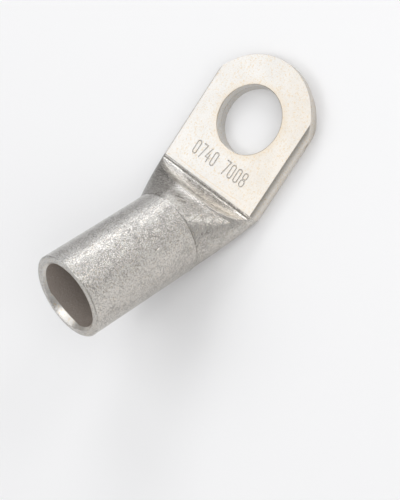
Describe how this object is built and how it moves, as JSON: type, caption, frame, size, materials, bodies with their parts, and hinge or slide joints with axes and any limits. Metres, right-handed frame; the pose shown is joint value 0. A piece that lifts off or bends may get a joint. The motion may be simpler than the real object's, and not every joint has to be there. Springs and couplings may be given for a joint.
{
  "type": "angled tubular cable lug",
  "caption": "Tinned copper tube lug: round barrel for a crimped cable, pressed neck, and a flat palm with a stud hole bent up at 45 degrees.",
  "frame": {"origin": "centre of the stud hole on the palm's contact face", "axes": "+Z along the stud hole's axis from the contact face to the upper face, +X from the barrel to the palm's tip"},
  "size_m": [0.0779, 0.031, 0.0365],
  "materials": {
    "tinned_copper": "satin"
  },
  "bodies": {
    "root": {"cable_lug": "tinned_copper"}
  },
  "joints": []
}
